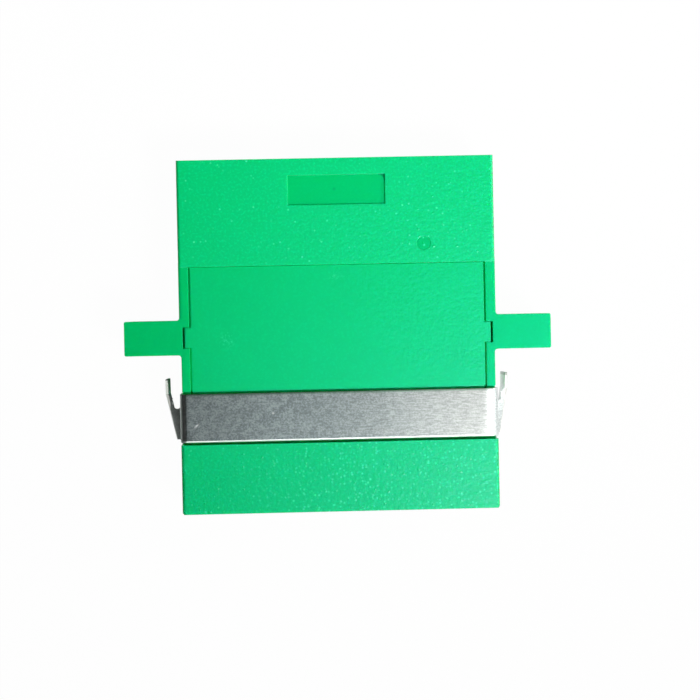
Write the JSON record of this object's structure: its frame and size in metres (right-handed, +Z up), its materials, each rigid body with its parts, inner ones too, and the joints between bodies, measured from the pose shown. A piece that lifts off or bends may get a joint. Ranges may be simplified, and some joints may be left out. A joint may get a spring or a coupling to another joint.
{
  "type": "lc quad fibre adapter",
  "caption": "Green moulded fibre adapter with a row of plug ports at each end, screw ears and a folded steel clip with side spring tongues for panel mounting.",
  "frame": {"origin": "on the lower broad face, midway between the ears and midway between the two port faces", "axes": "+X along the flange, +Y out of the front ports, +Z up through the broad face"},
  "size_m": [0.0352, 0.0292, 0.0094],
  "materials": {
    "housing": "moulded, fine texture",
    "clip": "rolled",
    "sleeve": "ground"
  },
  "bodies": {
    "root": {"front_housing": "housing", "rear_housing": "housing", "spring_clip": "clip", "sleeve_1": "sleeve", "sleeve_2": "sleeve", "sleeve_3": "sleeve", "sleeve_4": "sleeve"}
  },
  "joints": []
}
